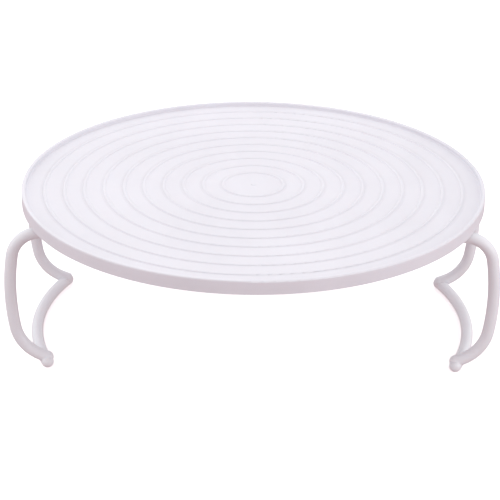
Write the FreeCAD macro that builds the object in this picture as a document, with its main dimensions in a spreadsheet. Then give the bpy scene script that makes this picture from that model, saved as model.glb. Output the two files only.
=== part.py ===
import FreeCAD, Part
import math
import os
import Sketcher
from FreeCAD import Vector

# Round food stand: a shallow ribbed tray on two wire-like plastic legs that fold under it.
# Millimetres. +Z is up, the floor is z = 0, the tray's axis is the Z axis, and the legs
# stand on the +X and -X sides. Each leg hangs on a bar that runs along Y under the tray.

DRIVING = [
    # tray
    ("outer_radius", 116.8),      # outside of the rim
    ("plate_height", 80.2),       # top of the flat plate above the floor
    ("plate_thickness", 2.0),
    ("rim_width", 2.0),           # wall of the rim, lip and skirt alike
    ("lip_height", 2.2),          # lip above the plate
    ("skirt_depth", 4.6),         # skirt below the top of the plate
    ("rim_round", 0.75),          # rounding of the lip's two top edges
    ("inner_round", 0.6),         # fillet between plate and lip
    ("ridge_first", 15.4),        # radius of the innermost ridge
    ("ridge_pitch", 10.0),
    ("ridge_width", 1.85),
    ("ridge_height", 0.5),
    ("gate_radius", 1.4),         # moulding gate mark in the middle
    ("gate_height", 0.15),
    ("rib_width", 1.2),           # stiffening ribs on the underside
    ("rib_depth", 1.2),
    ("rib_ring_inner", 40.0),
    ("rib_ring_outer", 74.0),
    # hinge under the tray
    ("pivot_inset", 24.8),        # rim's outside to the hinge axis
    ("pivot_drop", 7.4),          # top of the plate to the hinge axis
    ("hinge_offset", 33.0),       # middle of the tray to the middle of each bearing, along Y
    ("bearing_width", 16.0),      # bearing block along X
    ("bearing_length", 8.0),      # bearing block along Y
    ("cap_wall", 1.6),            # cap below the bar
    ("prong_width", 1.8),
    ("prong_length", 5.0),
    ("prong_height", 3.0),
    ("prong_gap", 0.1),           # clearance round a prong in its socket
    ("running_gap", 0.05),        # radial clearance of the bar in its bearing
    # legs
    ("rod_radius", 3.0),
    ("limb_offset", 45.4),        # middle of the tray to each limb's centre plane
    ("stop_gap", 0.3),            # limb to the skirt's notch at rest
    ("shoulder_run", 10.6),       # level stretch from the hinge axis to the shoulder
    ("shoulder_radius", 15.1),
    ("shoulder_turn", 80.6),
    ("bow_turn", 18.5),
    ("knee_radius", 20.5),
    ("knee_turn", 58.7),
    ("shin_length", 3.0),
    ("crossbar_bow", 9.3),        # how far the crossbar bows outwards between the limbs
    ("crossbar_shift", 0.65),     # crossbar outside the limb's end, in plan
    ("crossbar_drop", 1.75),      # crossbar's centre line below the limb's end
    ("foot_reach", 2.0),          # crossbar past the limb's centre plane, along its own line
    ("corner_swell", 0.06),       # ball at each rod corner and end over the rod's radius
    ("sole_depth", 0.4),          # flat cut off the underside of the crossbar
]
RIDGES = 10
RADIAL_RIBS = 8

doc = FreeCAD.newDocument("food_stand")
sheet = doc.addObject("Spreadsheet::Sheet", "dims")
size = {}
for row, (alias, value) in enumerate(DRIVING, start=1):
    sheet.set("A%d" % row, alias)
    sheet.set("B%d" % row, str(value))
    sheet.setAlias("B%d" % row, alias)
    size[alias] = value
doc.recompute()

# Lengths that follow from the driving ones, as expressions on the sheet.
PIVOT_X = "(dims.outer_radius - dims.pivot_inset)"
PIVOT_Z = "(dims.plate_height - dims.pivot_drop)"
UNDERSIDE = "(dims.plate_height - dims.plate_thickness)"
CROSSBAR_Z = "(dims.rod_radius - dims.sole_depth)"
LIMB_END_Z = "(dims.rod_radius - dims.sole_depth + dims.crossbar_drop)"
pivot_x = size["outer_radius"] - size["pivot_inset"]
pivot_z = size["plate_height"] - size["pivot_drop"]
limb_end_z = size["rod_radius"] - size["sole_depth"] + size["crossbar_drop"]


def origin_plane(body, role):
    """One of the body's own three origin planes."""
    return [f for f in body.Origin.OriginFeatures if f.Role == role][0]


def new_body(label):
    body = doc.addObject("PartDesign::Body", label)
    body.Label = label
    return body


def new_sketch(body, name, role, offset=None):
    """A sketch on one of the body's origin planes, moved along the plane's normal."""
    sketch = body.newObject("Sketcher::SketchObject", name)
    sketch.AttachmentSupport = [(origin_plane(body, role), "")]
    sketch.MapMode = "FlatFace"
    if offset:
        sketch.setExpression("AttachmentOffset.Base.z", offset)
    return sketch


def bind(sketch, kind, args, expression, value):
    """A dimension whose value is an expression on the sheet."""
    index = sketch.addConstraint(Sketcher.Constraint(kind, *args, value))
    sketch.setExpression("Constraints[%d]" % index, expression)
    return index


def circle(sketch, centre, radius, expressions):
    """Circle; expressions give centre x, centre y and radius."""
    index = sketch.addGeometry(Part.Circle(Vector(*centre, 0), Vector(0, 0, 1), radius), False)
    bind(sketch, "DistanceX", (-1, 1, index, 3), expressions[0], centre[0])
    bind(sketch, "DistanceY", (-1, 1, index, 3), expressions[1], centre[1])
    bind(sketch, "Radius", (index,), expressions[2], radius)
    return index


def ring_edges(shape, rings):
    """Names of the shape's full circles at the given (radius, height) pairs."""
    names = []
    for i, edge in enumerate(shape.Edges, start=1):
        if not isinstance(edge.Curve, Part.Circle):
            continue
        for radius, height in rings:
            if abs(edge.Curve.Radius - radius) < 1e-4 and abs(edge.Curve.Center.z - height) < 1e-4:
                names.append("Edge%d" % i)
    return names


def require_change(feature, before, grows):
    """Stops the build when a feature added or removed nothing."""
    doc.recompute()
    after = feature.Shape.Volume
    if (after > before + 1e-3) != grows or abs(after - before) < 1e-3:
        raise RuntimeError("%s changed the volume from %.3f to %.3f" % (feature.Name, before, after))
    return after


def primitive(body, kind, name, base, sizes, turn=None):
    """Additive or subtractive primitive with its place, sizes and tilt bound to the sheet."""
    feature = body.newObject("PartDesign::" + kind, name)
    for axis, expression in zip("xyz", base):
        feature.setExpression("Placement.Base." + axis, expression)
    for prop, expression in sizes.items():
        feature.setExpression(prop, expression)
    if turn:
        axis, expression = turn
        feature.Placement.Rotation = FreeCAD.Rotation(axis, 1)
        feature.setExpression("Placement.Rotation.Angle", expression)
    return feature


# ---------------------------------------------------------------- tray

def rim_section(tray):
    """Half section of the plate with its lip and skirt."""
    outer, wall = size["outer_radius"], size["rim_width"]
    top = size["plate_height"]
    bottom = top - size["plate_thickness"]
    inner = outer - wall
    points = [(0, bottom), (inner, bottom), (inner, top - size["skirt_depth"]),
              (outer, top - size["skirt_depth"]), (outer, top + size["lip_height"]),
              (inner, top + size["lip_height"]), (inner, top), (0, top)]
    sketch = new_sketch(tray, "rim_section", "XZ_Plane")
    count = len(points)
    for i, (x, z) in enumerate(points):
        nx, nz = points[(i + 1) % count]
        sketch.addGeometry(Part.LineSegment(Vector(x, z, 0), Vector(nx, nz, 0)), False)
    for i in range(count):
        sketch.addConstraint(Sketcher.Constraint("Coincident", i, 2, (i + 1) % count, 1))
        sketch.addConstraint(Sketcher.Constraint("Vertical" if i % 2 else "Horizontal", i))
    sketch.addConstraint(Sketcher.Constraint("PointOnObject", 0, 1, -2))
    sketch.addConstraint(Sketcher.Constraint("Vertical", 1, 2, 5, 2))
    bind(sketch, "DistanceX", (-1, 1, 3, 1), "dims.outer_radius", outer)
    bind(sketch, "DistanceX", (2, 1, 2, 2), "dims.rim_width", wall)
    bind(sketch, "DistanceY", (-1, 1, 6, 2), "dims.plate_height", top)
    bind(sketch, "DistanceY", (7, 2, 7, 1), "dims.plate_thickness", top - bottom)
    bind(sketch, "DistanceY", (2, 2, 6, 2), "dims.skirt_depth", size["skirt_depth"])
    bind(sketch, "DistanceY", (6, 2, 4, 1), "dims.lip_height", size["lip_height"])
    return sketch


def make_tray():
    tray = new_body("tray")
    section = rim_section(tray)
    doc.recompute()
    disc = tray.newObject("PartDesign::Revolution", "disc")
    disc.Profile = section
    disc.ReferenceAxis = (section, ["V_Axis"])
    disc.Angle = 360
    section.Visibility = False
    doc.recompute()
    volume = disc.Shape.Volume

    outer, inner = size["outer_radius"], size["outer_radius"] - size["rim_width"]
    lip_top = size["plate_height"] + size["lip_height"]
    rounding = tray.newObject("PartDesign::Fillet", "lip_rounding")
    rounding.Base = (disc, ring_edges(disc.Shape, [(outer, lip_top), (inner, lip_top)]))
    rounding.setExpression("Radius", "min(dims.rim_round; dims.rim_width * 0.45)")
    volume = require_change(rounding, volume, False)
    corner = tray.newObject("PartDesign::Fillet", "lip_corner")
    corner.Base = (rounding, ring_edges(rounding.Shape, [(inner, size["plate_height"])]))
    corner.setExpression("Radius", "min(dims.inner_round; dims.lip_height * 0.45)")
    volume = require_change(corner, volume, True)

    # Each ridge is the crown of a ring whose tube lies mostly inside the plate.
    tube = "((dims.ridge_width ^ 2 / 4 + dims.ridge_height ^ 2) / (2 * dims.ridge_height))"
    for i in range(RIDGES):
        ridge = primitive(tray, "AdditiveTorus", "ridge_%02d" % (i + 1),
                          ("0", "0", "dims.plate_height + dims.ridge_height - " + tube),
                          {"Radius1": "dims.ridge_first + %d * dims.ridge_pitch" % i, "Radius2": tube})
        volume = require_change(ridge, volume, True)
    gate = primitive(tray, "AdditiveCylinder", "gate_mark", ("0", "0", "dims.plate_height - 0.5"),
                     {"Radius": "dims.gate_radius", "Height": "dims.gate_height + 0.5"})
    volume = require_change(gate, volume, True)

    # Underside: two ring ribs and a star of radial ribs, let into the plate by half its wall.
    for name in ("rib_ring_inner", "rib_ring_outer"):
        sketch = new_sketch(tray, name + "_outline", "XY_Plane", UNDERSIDE + " - dims.rib_depth")
        circle(sketch, (0, 0), size[name], ("0", "0", "dims." + name))
        circle(sketch, (0, 0), size[name] - size["rib_width"], ("0", "0", "dims.%s - dims.rib_width" % name))
        ring = tray.newObject("PartDesign::Pad", name)
        ring.Profile = sketch
        ring.setExpression("Length", "dims.rib_depth + dims.plate_thickness / 2")
        sketch.Visibility = False
        volume = require_change(ring, volume, True)
    rib = primitive(tray, "AdditiveBox", "radial_rib",
                    ("0", "-dims.rib_width / 2", UNDERSIDE + " - dims.rib_depth"),
                    {"Length": "dims.outer_radius - dims.rim_width / 2", "Width": "dims.rib_width",
                     "Height": "dims.rib_depth + dims.plate_thickness / 2"})
    volume = require_change(rib, volume, True)
    star = tray.newObject("PartDesign::PolarPattern", "rib_star")
    star.Originals = [rib]
    star.Axis = (section, ["V_Axis"])
    star.Angle = 360
    star.Occurrences = RADIAL_RIBS
    tray.Tip = star
    volume = require_change(star, volume, True)

    # Four bearing blocks, the upper halves of the hinge bearings, with sockets for the caps.
    prong_x = "(dims.rod_radius + dims.bearing_width / 2) / 2"
    for side in (1, -1):
        for end in (1, -1):
            tag = "%s_%s" % (SIDES[side], ENDS[end])
            middle = ("%d * %s" % (side, PIVOT_X), "%d * dims.hinge_offset" % end, PIVOT_Z)
            block = primitive(tray, "AdditiveBox", "bearing_" + tag,
                              (middle[0] + " - dims.bearing_width / 2",
                               middle[1] + " - dims.bearing_length / 2", middle[2]),
                              {"Length": "dims.bearing_width", "Width": "dims.bearing_length",
                               "Height": "dims.pivot_drop - dims.plate_thickness / 2"})
            volume = require_change(block, volume, True)
            for prong in (1, -1):
                socket = primitive(tray, "SubtractiveBox", "socket_%s_%s" % (tag, SIDES[prong]),
                                   ("%s + %d * %s - dims.prong_width / 2 - dims.prong_gap"
                                    % (middle[0], prong, prong_x),
                                    middle[1] + " - dims.prong_length / 2 - dims.prong_gap", middle[2]),
                                   {"Length": "dims.prong_width + 2 * dims.prong_gap",
                                    "Width": "dims.prong_length + 2 * dims.prong_gap",
                                    "Height": "dims.prong_height + 3 * dims.prong_gap"})
                volume = require_change(socket, volume, False)
    for side in (1, -1):
        groove = primitive(tray, "SubtractiveCylinder", "bar_groove_" + SIDES[side],
                           ("%d * %s" % (side, PIVOT_X), "dims.limb_offset", PIVOT_Z),
                           {"Radius": "dims.rod_radius + dims.running_gap",
                            "Height": "2 * dims.limb_offset"}, (Vector(1, 0, 0), "90"))
        volume = require_change(groove, volume, False)

    # Shallow notches in the skirt's lower edge, where the limbs come to rest.
    for end in (1, -1):
        notch = primitive(tray, "SubtractiveCylinder", "limb_notch_" + ENDS[end],
                          ("-dims.outer_radius - 1", "%d * dims.limb_offset" % end, PIVOT_Z),
                          {"Radius": "dims.rod_radius + dims.stop_gap",
                           "Height": "2 * dims.outer_radius + 2"}, (Vector(0, 1, 0), "90"))
        volume = require_change(notch, volume, False)
    return tray


# ---------------------------------------------------------------- hinge caps

def make_cap(label, side, end):
    """Lower half of one hinge bearing, with two prongs that plug into the tray's block."""
    cap = new_body(label)
    depth = "(dims.rod_radius + dims.running_gap + dims.cap_wall)"
    block = primitive(cap, "AdditiveBox", label + "_block",
                      ("-dims.bearing_width / 2", "-dims.bearing_length / 2", "-" + depth),
                      {"Length": "dims.bearing_width", "Width": "dims.bearing_length", "Height": depth})
    doc.recompute()
    volume = block.Shape.Volume
    lower = [i for i, e in enumerate(block.Shape.Edges, start=1)
             if max(v.Z for v in e.Vertexes) < -size["rod_radius"] and e.BoundBox.YLength > 1]
    rounding = cap.newObject("PartDesign::Fillet", label + "_rounding")
    rounding.Base = (block, ["Edge%d" % i for i in lower])
    rounding.setExpression("Radius", "dims.cap_wall * 0.9")
    volume = require_change(rounding, volume, False)
    groove = primitive(cap, "SubtractiveCylinder", label + "_groove",
                       ("0", "dims.bearing_length", "0"),
                       {"Radius": "dims.rod_radius + dims.running_gap",
                        "Height": "2 * dims.bearing_length"}, (Vector(1, 0, 0), "90"))
    volume = require_change(groove, volume, False)
    for prong in (1, -1):
        # Each prong is rooted one wall deep in the block.
        tab = primitive(cap, "AdditiveBox", "%s_prong_%s" % (label, SIDES[prong]),
                        ("%d * (dims.rod_radius + dims.bearing_width / 2) / 2 - dims.prong_width / 2"
                         % prong, "-dims.prong_length / 2", "-dims.cap_wall"),
                        {"Length": "dims.prong_width", "Width": "dims.prong_length",
                         "Height": "dims.prong_height + dims.cap_wall"})
        volume = require_change(tab, volume, True)
    cap.setExpression("Placement.Base.x", "%d * %s" % (side, PIVOT_X))
    cap.setExpression("Placement.Base.y", "%d * dims.hinge_offset" % end)
    cap.setExpression("Placement.Base.z", PIVOT_Z)
    return cap


# ---------------------------------------------------------------- legs

def limb_path(leg):
    """Centre line of the front limb: level run, shoulder, long bow, knee and shin.

    The bow's radius is left free, so that it reaches whatever height the plate has.
    """
    turns = [math.radians(size[name]) for name in ("shoulder_turn", "bow_turn", "knee_turn")]
    radii = [size["shoulder_radius"], None, size["knee_radius"]]
    heading = sum(turns)
    fixed = (radii[0] * (1 - math.cos(turns[0])) + radii[2] * (math.cos(turns[0] + turns[1])
             - math.cos(heading)) + size["shin_length"] * math.sin(heading))
    radii[1] = (pivot_z - limb_end_z - fixed) / (math.cos(turns[0]) - math.cos(turns[0] + turns[1]))

    sketch = new_sketch(leg, leg.Label + "_limb_path", "XZ_Plane", "dims.limb_offset")
    x, z = pivot_x + size["shoulder_run"], pivot_z
    sketch.addGeometry(Part.LineSegment(Vector(pivot_x, pivot_z, 0), Vector(x, z, 0)), False)
    turned = 0.0
    for radius, turn in zip(radii, turns):
        # The path turns clockwise, and an arc runs the other way, so its end comes first.
        centre = Vector(x - radius * math.sin(turned), z - radius * math.cos(turned), 0)
        arc_end = math.pi / 2 - turned
        turned += turn
        arc_start = math.pi / 2 - turned
        arc = Part.ArcOfCircle(Part.Circle(centre, Vector(0, 0, 1), radius), arc_start, arc_end)
        sketch.addGeometry(arc, False)
        x = centre.x + radius * math.cos(arc_start)
        z = centre.y + radius * math.sin(arc_start)
    foot = Vector(x + size["shin_length"] * math.cos(turned), z - size["shin_length"] * math.sin(turned), 0)
    sketch.addGeometry(Part.LineSegment(Vector(x, z, 0), foot), False)

    run, shoulder, bow, knee, shin = range(5)
    sketch.addConstraint(Sketcher.Constraint("Horizontal", run))
    sketch.addConstraint(Sketcher.Constraint("Tangent", run, 2, shoulder, 2))
    sketch.addConstraint(Sketcher.Constraint("Tangent", shoulder, 1, bow, 2))
    sketch.addConstraint(Sketcher.Constraint("Tangent", bow, 1, knee, 2))
    sketch.addConstraint(Sketcher.Constraint("Tangent", knee, 1, shin, 1))
    bind(sketch, "DistanceX", (-1, 1, run, 1), PIVOT_X, pivot_x)
    bind(sketch, "DistanceY", (-1, 1, run, 1), PIVOT_Z, pivot_z)
    bind(sketch, "DistanceX", (run, 1, run, 2), "dims.shoulder_run", size["shoulder_run"])
    bind(sketch, "Radius", (shoulder,), "dims.shoulder_radius", radii[0])
    bind(sketch, "Radius", (knee,), "dims.knee_radius", radii[2])
    bind(sketch, "Distance", (shin,), "dims.shin_length", size["shin_length"])
    bind(sketch, "Angle", (shoulder,), "dims.shoulder_turn", turns[0])
    bind(sketch, "Angle", (bow,), "dims.bow_turn", turns[1])
    bind(sketch, "Angle", (knee,), "dims.knee_turn", turns[2])
    bind(sketch, "DistanceY", (-1, 1, shin, 2), LIMB_END_Z, limb_end_z)
    reach = sketch.addConstraint(Sketcher.Constraint("DistanceX", -1, 1, shin, 2, foot.x))
    sketch.setDriving(reach, False)
    sketch.renameConstraint(reach, "foot_x")
    return sketch


def make_leg(label, half_turn):
    """One leg loop: hinge bar, two bowed limbs and a crossbar that is the foot, built on the +X side."""
    leg = new_body(label)
    path = limb_path(leg)
    section = new_sketch(leg, label + "_rod_section", "YZ_Plane", PIVOT_X)
    circle(section, (-size["limb_offset"], pivot_z), size["rod_radius"],
           ("-dims.limb_offset", PIVOT_Z, "dims.rod_radius"))
    doc.recompute()
    limb = leg.newObject("PartDesign::AdditivePipe", label + "_limb")
    limb.Profile = section
    limb.Spine = (path, ["Edge%d" % (i + 1) for i in range(5)])
    limb.Mode = "Standard"
    path.Visibility = False
    section.Visibility = False
    doc.recompute()
    volume = limb.Shape.Volume
    length = sum(edge.Length for edge in path.Shape.Edges)
    print(label, "limb volume %.1f, section times length %.1f"
          % (volume, math.pi * size["rod_radius"] ** 2 * length))

    pair = leg.newObject("PartDesign::Mirrored", label + "_limb_pair")
    pair.Originals = [limb]
    pair.MirrorPlane = (origin_plane(leg, "XZ_Plane"), [""])
    leg.Tip = pair
    volume = require_change(pair, volume, True)
    bar = primitive(leg, "AdditiveCylinder", label + "_hinge_bar", (PIVOT_X, "dims.limb_offset", PIVOT_Z),
                    {"Radius": "dims.rod_radius", "Height": "2 * dims.limb_offset"}, (Vector(1, 0, 0), "90"))
    volume = require_change(bar, volume, True)

    # The crossbar is a slice of a ring, under both limb ends and a little past them.
    ring = "((dims.limb_offset ^ 2 + dims.crossbar_bow ^ 2) / (2 * dims.crossbar_bow))"
    sweep = "(asin(dims.limb_offset / %s) + dims.foot_reach / %s * 1 rad)" % (ring, ring)
    foot_x = "(%s.Constraints.foot_x / 1 mm)" % path.Name
    ring_x = "(%s + dims.crossbar_shift + dims.crossbar_bow - %s)" % (foot_x, ring)
    crossbar = primitive(leg, "AdditiveTorus", label + "_crossbar", (ring_x, "0", CROSSBAR_Z),
                         {"Radius1": ring, "Radius2": "dims.rod_radius", "Angle3": "2 * " + sweep},
                         (Vector(0, 0, 1), "-" + sweep))
    volume = require_change(crossbar, volume, True)

    # Each ball's poles lie along the crossbar and its seam on the open inner side.
    balls = (
        ("hinge_corner", PIVOT_X, "dims.limb_offset", PIVOT_Z),
        ("foot_corner", foot_x, "dims.limb_offset", LIMB_END_Z),
        ("foot_tip", "%s + %s * cos(%s)" % (ring_x, ring, sweep), "%s * sin(%s)" % (ring, sweep), CROSSBAR_Z),
    )
    for end in (1, -1):
        for name, x, y, z in balls:
            ball = primitive(leg, "AdditiveSphere", "%s_%s_%s" % (label, name, ENDS[end]),
                             (x, "%d * %s" % (end, y), z),
                             {"Radius": "dims.rod_radius + dims.corner_swell"}, (Vector(0, 1, 1), "180"))
            volume = require_change(ball, volume, True)
    sole = primitive(leg, "SubtractiveBox", label + "_sole_cut",
                     ("0", "-dims.outer_radius", "-dims.rod_radius"),
                     {"Length": "2 * dims.outer_radius", "Width": "2 * dims.outer_radius",
                      "Height": "dims.rod_radius"})
    require_change(sole, volume, False)
    leg.Placement = FreeCAD.Placement(Vector(0, 0, 0), FreeCAD.Rotation(Vector(0, 0, 1), half_turn))
    return leg


SIDES = {1: "right", -1: "left"}
ENDS = {1: "rear", -1: "front"}

parts = [make_tray(), make_leg("right_leg", 0), make_leg("left_leg", 180)]
for side_sign in (-1, 1):
    for end_sign in (-1, 1):
        parts.append(make_cap("%s_%s_hinge_cap" % (SIDES[side_sign], ENDS[end_sign]), side_sign, end_sign))

doc.recompute()
for item in doc.Objects:
    if "Invalid" in item.State or "Error" in item.State:
        raise RuntimeError("%s failed: %s" % (item.Label, item.State))
for part in parts:
    if part.Shape.isNull() or not part.Shape.isValid() or len(part.Shape.Solids) != 1:
        raise RuntimeError(part.Label + " has no single valid solid")

os.makedirs("parts", exist_ok=True)
for part in parts:
    part.Shape.exportStep("parts/%s.step" % part.Label)
    box = part.Shape.BoundBox
    print("%-24s volume %9.1f  x %8.2f %8.2f  y %8.2f %8.2f  z %7.2f %7.2f"
          % (part.Label, part.Shape.Volume, box.XMin, box.XMax, box.YMin, box.YMax, box.ZMin, box.ZMax))
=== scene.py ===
"""Round plate stand with two folding legs: finishes, stage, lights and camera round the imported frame."""

import math

import bpy
from bpy.props import FloatProperty, FloatVectorProperty, PointerProperty
from mathutils import Euler, Matrix, Vector

bl_info = {
    "name": "Folding plate stand",
    "version": (1, 0, 0),
    "blender": (4, 5, 0),
    "location": "3D View > Sidebar > Plate stand",
    "description": "Moulded plastic finishes for a round plate stand with folding legs, and its studio",
    "category": "Object",
}

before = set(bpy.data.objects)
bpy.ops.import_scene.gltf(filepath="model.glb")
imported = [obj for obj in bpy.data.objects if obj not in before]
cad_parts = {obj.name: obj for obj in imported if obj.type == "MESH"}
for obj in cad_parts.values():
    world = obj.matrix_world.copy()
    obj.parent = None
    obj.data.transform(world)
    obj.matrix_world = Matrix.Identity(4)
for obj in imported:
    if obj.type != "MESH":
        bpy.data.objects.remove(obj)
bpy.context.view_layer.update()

LIGHT_AIM = (0.0, 0.0, 0.05)
SOFT_BOXES = (           # name, place, side, colour
    ("top_light", (-0.3, 0.95, 1.25), 1.1, (0.97, 0.975, 1.0)),
    ("right_light", (1.4, -0.75, 0.45), 0.9, (0.98, 1.0, 1.0)),
    ("left_light", (-1.5, -0.35, 0.45), 0.9, (0.98, 1.0, 1.0)),
)

RIDGE_FIRST = 0.0154     # radius of the innermost ridge
RIDGE_PITCH = 0.0100
RIDGE_LAST = 0.1054      # radius of the outermost ridge
RIDGE_FOOT = 0.0795      # just under the face that the ridges stand on
PAINTED_SHADE_RISE = (0.0004, 0.0011)     # where a ridge's band of painted shade starts and is full, outwards of its crown
PAINTED_SHADE_FALL = (0.0015, 0.0025)     # where it starts to fade and ends
PAINTED_SHADE_TONE = (0.55, 0.53, 0.54)   # the painted shade at full strength, as a share of the tray's colour
RIDGE_SHADE = 0.09               # how far the painted shade goes towards that tone

CLOUD_SCALE = 14.0       # noise scales are in waves to the metre
FLOW_SCALE = 60.0
FLOW_STRETCH = (1.0, 0.35, 1.0)
GLOSS_SCALE = 220.0
PEEL_SCALE = 520.0
PIT_SCALE = 3200.0
PALEST, DARKEST = 1.02, 0.965    # the cloudy tone's ends, as shares of the colour
GRAIN_DEPTH = 0.00006
PLASTIC_IOR = 1.49
GLOW_SHARE = 0.12                # light that goes through the skin of the plastic
GLOW_DEPTH = 0.004
GLOW_REACH = (1.0, 0.8, 0.75)

FLOOR_TONES = ((0.93, 0.93, 0.93), (0.95, 0.95, 0.95))
HORIZON = (-0.3, 0.1)            # where the ground's light gives way to the tent's
SENSOR_WIDTH = 36.0
CLIP = (0.05, 50.0)
LEGS = ("left_leg", "right_leg")
CAPS = (
    "left_front_hinge_cap",
    "left_rear_hinge_cap",
    "right_front_hinge_cap",
    "right_rear_hinge_cap",
)


# ---------------------------------------------------------------- moulded plastic

class Board:
    """The node tree of a material or a world, with short calls to add and join nodes."""

    def __init__(self, owner):
        self.owner = owner
        owner.use_nodes = True
        self.tree = owner.node_tree
        self.tree.nodes.clear()
        self.columns = 0

    def add(self, kind, inputs=None, **settings):
        node = self.tree.nodes.new(kind)
        node.location = (self.columns * 190, 0)
        self.columns += 1
        for key, value in settings.items():
            setattr(node, key, value)
        for key, value in (inputs or {}).items():
            if isinstance(value, bpy.types.NodeSocket):
                self.tree.links.new(value, node.inputs[key])
            else:
                node.inputs[key].default_value = value
        return node

    def math(self, operation, first, second=0.0):
        return self.add("ShaderNodeMath", {0: first, 1: second}, operation=operation).outputs[0]

    def spread(self, value, low, high, to_low, to_high):
        """value from low..high to to_low..to_high, held at both ends."""
        return self.add("ShaderNodeMapRange", {
            "Value": value, "From Min": low, "From Max": high, "To Min": to_low, "To Max": to_high,
        }).outputs["Result"]

    def noise(self, place, scale, detail=2.0, stretch=None):
        if stretch:
            place = self.add("ShaderNodeMapping", {"Vector": place, "Scale": stretch}).outputs["Vector"]
        return self.add("ShaderNodeTexNoise", {
            "Vector": place, "Scale": scale, "Detail": detail, "Roughness": 0.5,
        }).outputs["Fac"]

    def mix(self, share, first, second):
        node = self.add("ShaderNodeMix")
        node.data_type = "RGBA"
        for socket, value in ((node.inputs[0], share), (node.inputs[6], first), (node.inputs[7], second)):
            if isinstance(value, bpy.types.NodeSocket):
                self.tree.links.new(value, socket)
            else:
                socket.default_value = value
        return node.outputs[2]


def colour(rgb):
    return (*rgb, 1.0)


def shaded(rgb, share):
    return (*(channel * share for channel in rgb), 1.0)


def ridge_shade(board, place):
    """1 along the outer foot of each round ridge, 0 elsewhere: where painted shade darkens the tray."""
    level = board.add("ShaderNodeVectorMath", {0: place, 1: (1.0, 1.0, 0.0)}, operation="MULTIPLY")
    radius = board.add("ShaderNodeVectorMath", {0: level.outputs[0]}, operation="LENGTH").outputs["Value"]
    steps = board.math("DIVIDE", board.math("SUBTRACT", radius, RIDGE_FIRST - RIDGE_PITCH / 2), RIDGE_PITCH)
    within = board.math("MULTIPLY", board.math("FRACT", steps), RIDGE_PITCH)
    out = board.math("SUBTRACT", within, RIDGE_PITCH / 2)
    rise = board.spread(out, *PAINTED_SHADE_RISE, 0.0, 1.0)
    fall = board.spread(out, *PAINTED_SHADE_FALL, 1.0, 0.0)
    height = board.add("ShaderNodeSeparateXYZ", {"Vector": place}).outputs["Z"]
    on_top = board.math("GREATER_THAN", height, RIDGE_FOOT)
    inside = board.math("LESS_THAN", radius, RIDGE_LAST + RIDGE_PITCH / 2)
    outside = board.math("GREATER_THAN", radius, RIDGE_FIRST - RIDGE_PITCH / 2)
    band = board.math("MULTIPLY", rise, fall)
    ring = board.math("MULTIPLY", band, board.math("MULTIPLY", inside, outside))
    return board.math("MULTIPLY", ring, on_top)


def moulded_plastic(name, rgb, roughness, grain, ridges=False):
    """White polypropylene: slow cloudy tone, uneven satin gloss, mould grain and orange peel; with ridges,
    painted shade along each ridge's outer foot.
    """
    board = Board(bpy.data.materials.new(name))
    place = board.add("ShaderNodeTexCoord").outputs["Object"]
    cloud = board.noise(place, CLOUD_SCALE, 3.0)
    flow = board.noise(place, FLOW_SCALE, 2.0, FLOW_STRETCH)
    tone = board.math("ADD", board.math("MULTIPLY", cloud, 0.65), board.math("MULTIPLY", flow, 0.35))
    paint = board.mix(board.spread(tone, 0.35, 0.65, 0.0, 1.0), shaded(rgb, DARKEST), shaded(rgb, PALEST))
    if ridges:
        # painted shade: the tray's colour darkened in a band along the outer foot of each ridge
        painted_shade_share = board.math("MULTIPLY", ridge_shade(board, place), RIDGE_SHADE)
        paint = board.mix(painted_shade_share, paint, colour(channel * share for channel, share in zip(rgb, PAINTED_SHADE_TONE)))
    gloss = board.spread(board.noise(place, GLOSS_SCALE), 0.3, 0.7, roughness - 0.05, roughness + 0.06)
    peel = board.noise(place, PEEL_SCALE, 1.0)
    pits = board.noise(place, PIT_SCALE)
    height = board.math("ADD", board.math("MULTIPLY", peel, 0.35), board.math("MULTIPLY", pits, 0.65))
    bump = board.add("ShaderNodeBump", {
        "Height": height, "Strength": grain, "Distance": GRAIN_DEPTH,
    }).outputs["Normal"]
    shader = board.add("ShaderNodeBsdfPrincipled", {
        "Base Color": paint, "Roughness": gloss, "Normal": bump,
        "IOR": PLASTIC_IOR, "Subsurface Weight": GLOW_SHARE, "Subsurface Scale": GLOW_DEPTH,
        "Subsurface Radius": GLOW_REACH,
    })
    board.add("ShaderNodeOutputMaterial", {"Surface": shader.outputs[0]})
    return board.owner


def cover(node, material):
    """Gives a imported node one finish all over, in place of the plain one it came with."""
    node.data.materials.clear()
    node.data.materials.append(material)


# ---------------------------------------------------------------- settings

class PlateStandFinish(bpy.types.PropertyGroup):
    tray_colour: FloatVectorProperty(
        name="Tray", description="Colour of the tray's plastic",
        subtype="COLOR", size=3, min=0.0, max=1.0, default=(0.715, 0.71, 0.762))
    leg_colour: FloatVectorProperty(
        name="Legs", description="Colour of the two leg loops",
        subtype="COLOR", size=3, min=0.0, max=1.0, default=(0.775, 0.785, 0.825))
    cap_colour: FloatVectorProperty(
        name="Hinge caps", description="Colour of the four caps over the hinge bars",
        subtype="COLOR", size=3, min=0.0, max=1.0, default=(0.71, 0.70, 0.745))
    tray_roughness: FloatProperty(
        name="Tray roughness", description="0 is polished, 1 is dull",
        subtype="FACTOR", min=0.0, max=1.0, default=0.42)
    leg_roughness: FloatProperty(
        name="Leg roughness", description="0 is polished, 1 is dull",
        subtype="FACTOR", min=0.0, max=1.0, default=0.36)
    grain: FloatProperty(
        name="Mould grain", description="Strength of the fine texture that the mould leaves",
        subtype="FACTOR", min=0.0, max=1.0, default=0.5)


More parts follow.
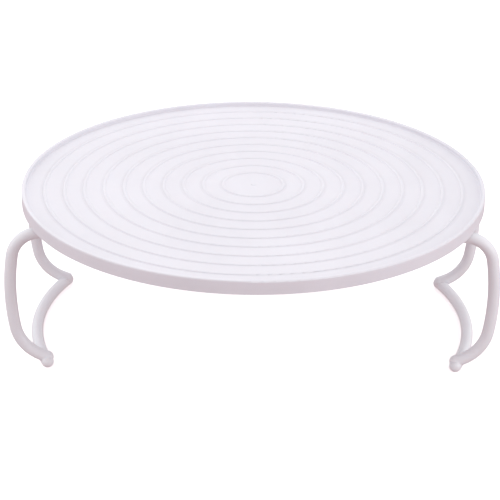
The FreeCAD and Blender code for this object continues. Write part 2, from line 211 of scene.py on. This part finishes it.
class PlateStandStudio(bpy.types.PropertyGroup):
    floor_size: FloatProperty(
        name="Floor", description="Side of the pale floor", unit="LENGTH", default=12.0)
    lens: FloatProperty(
        name="Lens", description="Focal length on a 36 mm sensor, in millimetres", default=124.1)
    camera_place: FloatVectorProperty(
        name="Camera", description="Where the camera stands",
        subtype="TRANSLATION", unit="LENGTH", size=3, default=(0.0060, -0.8066, 0.4187))
    camera_pitch: FloatProperty(
        name="Pitch", description="How far the camera looks down",
        subtype="ANGLE", default=math.radians(24.95))
    camera_turn: FloatProperty(
        name="Turn", description="How far the camera stands round the stand from its front",
        subtype="ANGLE", default=math.radians(0.53))
    camera_roll: FloatProperty(
        name="Roll", description="Lean of the camera about its own line of sight",
        subtype="ANGLE", default=math.radians(0.4))
    tent_behind: FloatVectorProperty(
        name="Tent behind", description="Light of the tent on the far side of the stand",
        subtype="COLOR", size=3, min=0.0, max=2.0, default=(1.045, 1.04, 1.05))
    tent_in_front: FloatVectorProperty(
        name="Tent in front", description="Light of the tent on the near side, a little dimmer and warmer",
        subtype="COLOR", size=3, min=0.0, max=2.0, default=(0.865, 0.815, 0.82))
    ground_light: FloatVectorProperty(
        name="Ground light", description="Dim, warm light from below",
        subtype="COLOR", size=3, min=0.0, max=2.0, default=(0.56, 0.41, 0.425))
    top_light: FloatProperty(
        name="Top light", description="Power of the soft light overhead, behind on the left",
        unit="POWER", min=0.0, default=5.2)
    right_light: FloatProperty(
        name="Right light", description="Power of the soft light low on the right",
        unit="POWER", min=0.0, default=7.5)
    left_light: FloatProperty(
        name="Left light", description="Power of the soft light low on the left",
        unit="POWER", min=0.0, default=4.8)
    floor_glow: FloatProperty(
        name="Floor glow", description="How far the floor's own light lifts the shadows on it",
        min=0.0, default=0.47)


# ---------------------------------------------------------------- operators

class PLATESTAND_OT_tray(bpy.types.Operator):
    """Finish the tray in satin white plastic"""
    bl_idname = "platestand.tray"
    bl_label = "Finish tray"

    def execute(self, context):
        finish = context.scene.plate_stand_finish
        cover(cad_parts["tray"],
              moulded_plastic("satin_tray_plastic", finish.tray_colour, finish.tray_roughness,
                              finish.grain, ridges=True))
        return {"FINISHED"}


class PLATESTAND_OT_legs(bpy.types.Operator):
    """Finish the two folding legs in white plastic"""
    bl_idname = "platestand.legs"
    bl_label = "Finish legs"

    def execute(self, context):
        finish = context.scene.plate_stand_finish
        material = moulded_plastic("leg_rod_plastic", finish.leg_colour, finish.leg_roughness, finish.grain)
        for name in LEGS:
            cover(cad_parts[name], material)
        return {"FINISHED"}


class PLATESTAND_OT_caps(bpy.types.Operator):
    """Finish the four hinge caps in white plastic"""
    bl_idname = "platestand.caps"
    bl_label = "Finish hinge caps"

    def execute(self, context):
        finish = context.scene.plate_stand_finish
        material = moulded_plastic("hinge_cap_plastic", finish.cap_colour,
                                   finish.tray_roughness, finish.grain)
        for name in CAPS:
            cover(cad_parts[name], material)
        return {"FINISHED"}


class PLATESTAND_OT_stage(bpy.types.Operator):
    """Make the pale floor, the soft lights and the camera"""
    bl_idname = "platestand.stage"
    bl_label = "Make stage"

    def execute(self, context):
        studio = context.scene.plate_stand_studio
        self.make_floor(context, studio)
        self.make_lights(context, studio)
        self.make_camera(context, studio)
        context.scene.view_settings.view_transform = "Standard"
        return {"FINISHED"}

    def make_floor(self, context, studio):
        half = studio.floor_size / 2
        mesh = bpy.data.meshes.new("studio_floor")
        mesh.from_pydata([(-half, -half, 0), (half, -half, 0), (half, half, 0), (-half, half, 0)],
                         [], [(0, 1, 2, 3)])
        floor = bpy.data.objects.new("studio_floor", mesh)
        context.scene.collection.objects.link(floor)
        board = Board(bpy.data.materials.new("pale_floor"))
        place = board.add("ShaderNodeTexCoord").outputs["Object"]
        paint = board.mix(board.noise(place, 3.0), *(colour(tone) for tone in FLOOR_TONES))
        shader = board.add("ShaderNodeBsdfPrincipled", {
            "Base Color": paint, "Roughness": 0.6,
            "Emission Color": (1.0, 1.0, 1.0, 1.0), "Emission Strength": studio.floor_glow,
        })
        board.add("ShaderNodeOutputMaterial", {"Surface": shader.outputs[0]})
        mesh.materials.append(board.owner)
        floor.visible_diffuse = False
        floor.visible_glossy = False

    def make_lights(self, context, studio):
        world = bpy.data.worlds.new("soft_white_tent")
        context.scene.world = world
        world.use_nodes = True
        board = Board(world)
        direction = board.add("ShaderNodeTexCoord").outputs["Generated"]
        split = board.add("ShaderNodeSeparateXYZ", {"Vector": direction}).outputs
        tent = board.mix(board.spread(split["Y"], -1.0, 1.0, 0.0, 1.0),
                         colour(studio.tent_in_front), colour(studio.tent_behind))
        glow = board.mix(board.spread(split["Z"], *HORIZON, 0.0, 1.0), colour(studio.ground_light), tent)
        light = board.add("ShaderNodeBackground", {"Color": glow, "Strength": 1.0})
        board.add("ShaderNodeOutputWorld", {"Surface": light.outputs[0]})
        for name, place, side, tint in SOFT_BOXES:
            self.soft_box(context, name, place, side, getattr(studio, name), tint)

    def soft_box(self, context, name, place, side, power, tint):
        light = bpy.data.lights.new(name, "AREA")
        light.shape = "SQUARE"
        light.size = side
        light.energy = power
        light.color = tint
        lamp = bpy.data.objects.new(name, light)
        lamp.location = place
        lamp.rotation_euler = (Vector(LIGHT_AIM) - Vector(place)).to_track_quat("-Z", "Y").to_euler()
        context.scene.collection.objects.link(lamp)

    def make_camera(self, context, studio):
        camera = bpy.data.cameras.new("studio_camera")
        camera.sensor_width = SENSOR_WIDTH
        camera.lens = studio.lens
        camera.clip_start, camera.clip_end = CLIP
        eye = bpy.data.objects.new("studio_camera", camera)
        turn = (Euler((math.pi / 2 - studio.camera_pitch, 0, studio.camera_turn)).to_matrix()
                @ Matrix.Rotation(studio.camera_roll, 3, "Z"))
        eye.matrix_world = Matrix.Translation(studio.camera_place) @ turn.to_4x4()
        context.scene.collection.objects.link(eye)
        context.scene.camera = eye


# ---------------------------------------------------------------- panel

class PLATESTAND_PT_sidebar(bpy.types.Panel):
    bl_idname = "PLATESTAND_PT_sidebar"
    bl_label = "Plate stand"
    bl_space_type = "VIEW_3D"
    bl_region_type = "UI"
    bl_category = "Plate stand"

    def draw(self, context):
        for settings in (context.scene.plate_stand_finish, context.scene.plate_stand_studio):
            for key in settings.__annotations__:
                self.layout.prop(settings, key)
        for operator in OPERATORS:
            self.layout.operator(operator.bl_idname)


OPERATORS = (PLATESTAND_OT_tray, PLATESTAND_OT_legs, PLATESTAND_OT_caps, PLATESTAND_OT_stage)
CLASSES = (PlateStandFinish, PlateStandStudio, *OPERATORS, PLATESTAND_PT_sidebar)


def register():
    for item in CLASSES:
        bpy.utils.register_class(item)
    bpy.types.Scene.plate_stand_finish = PointerProperty(type=PlateStandFinish)
    bpy.types.Scene.plate_stand_studio = PointerProperty(type=PlateStandStudio)


def unregister():
    del bpy.types.Scene.plate_stand_studio
    del bpy.types.Scene.plate_stand_finish
    for item in reversed(CLASSES):
        bpy.utils.unregister_class(item)


def main():
    register()
    bpy.ops.platestand.tray()
    bpy.ops.platestand.legs()
    bpy.ops.platestand.caps()
    bpy.ops.platestand.stage()


if __name__ == "__main__":
    main()
